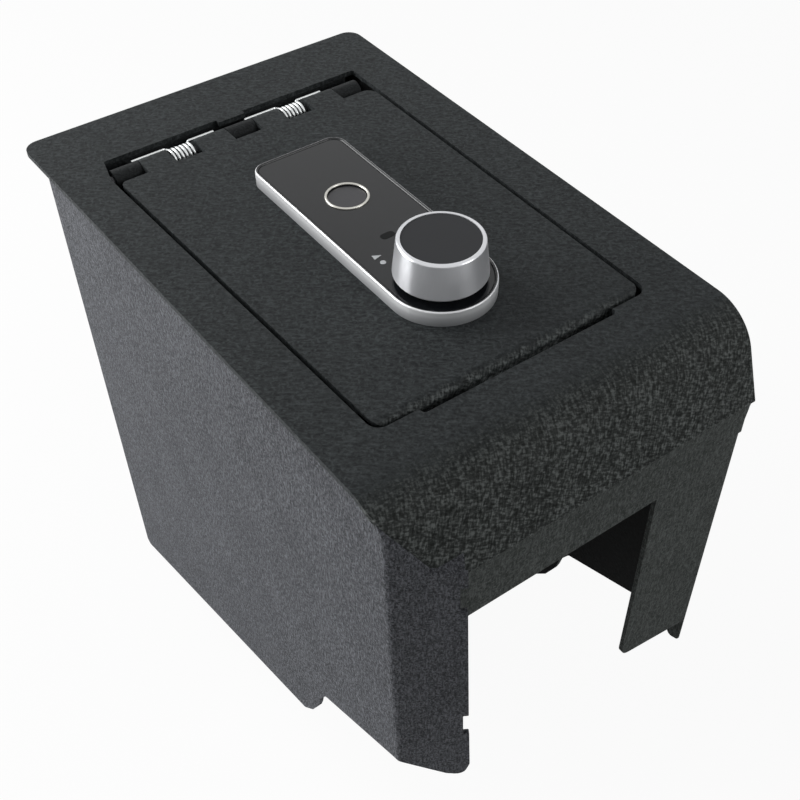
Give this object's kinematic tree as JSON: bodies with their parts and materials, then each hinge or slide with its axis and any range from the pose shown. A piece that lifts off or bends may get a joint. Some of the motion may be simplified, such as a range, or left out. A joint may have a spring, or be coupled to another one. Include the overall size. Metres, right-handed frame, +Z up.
{
  "type": "vehicle console safe",
  "caption": "Folded steel console safe with a stepped bottom, a sprung hinged top lid and a fingerprint lock whose chrome knob throws a wide bolt.",
  "frame": {"origin": "centre of the overall box in X and Y, at the height of its lowest corner, the rear end of the side walls", "axes": "+Z up with the top plate level, +Y towards the hinge, +X to the right seen from the front lip"},
  "size_m": [0.1938, 0.3206, 0.3264],
  "materials": {
    "charcoal_coat": "textured powder coat",
    "black_coat": "satin black coat",
    "zinc_steel": "zinc plated",
    "spring_wire": "bright zinc wire",
    "bright_chrome": "bright chrome",
    "gloss_black": "glossy black",
    "sensor_black": "smooth glossy black",
    "window_black": "dark translucent lens",
    "pale_mark": "printed pale grey",
    "black_plastic": "moulded matt black",
    "black_rubber": "matt rubber",
    "board_green": "circuit board",
    "cell_jacket": "battery jacket",
    "yellow_brass": "machined brass"
  },
  "bodies": {
    "safe_body": {"top_plate": "charcoal_coat", "front_panel": "charcoal_coat", "left_wall": "charcoal_coat", "right_wall": "charcoal_coat", "rear_wall": "charcoal_coat", "floor_pan": "charcoal_coat", "left_ledge": "charcoal_coat", "right_ledge": "charcoal_coat", "bump_stops": "black_rubber", "strike_plate": "zinc_steel", "hinge_rail": "black_coat", "hinge_pin": "zinc_steel", "left_spring": "spring_wire", "right_spring": "spring_wire"},
    "lid": {"lid_panel": "charcoal_coat", "lock_rim": "bright_chrome", "lock_face": "gloss_black", "sensor_ring": "bright_chrome", "fingerprint_pad": "sensor_black", "status_window": "window_black", "index_marks": "pale_mark", "lock_case": "black_plastic", "circuit_board": "board_green", "battery_tray": "black_plastic", "battery_cells": "cell_jacket", "case_cover": "black_plastic", "battery_door": "black_plastic", "case_screws": "zinc_steel", "lock_solenoid": "zinc_steel"},
    "knob": {"knob_shell": "bright_chrome", "knob_cap": "gloss_black", "spindle": "zinc_steel", "drive_pinion": "yellow_brass"},
    "latch": {"latch_bolt": "zinc_steel"}
  },
  "joints": [
    {"name": "lid_hinge", "type": "hinge", "parent": "safe_body", "child": "lid", "pos_m": [0.00234, 0.11438, 0.2945], "axis": [-1, 0, 0], "range_deg": [0, 90]},
    {"name": "knob_turn", "type": "hinge", "parent": "lid", "child": "knob", "pos_m": [0.00234, -0.04662, 0.31], "axis": [0, 0, 1], "range_deg": [0, 90]},
    {"name": "latch_slide", "type": "slide", "parent": "lid", "child": "latch", "axis": [0, -1, 0], "range_m": [0, 0.01257]}
  ],
  "couplings": [
    {"joint": "latch_slide", "follows": "knob_turn", "m_per_rad": 0.008}
  ]
}
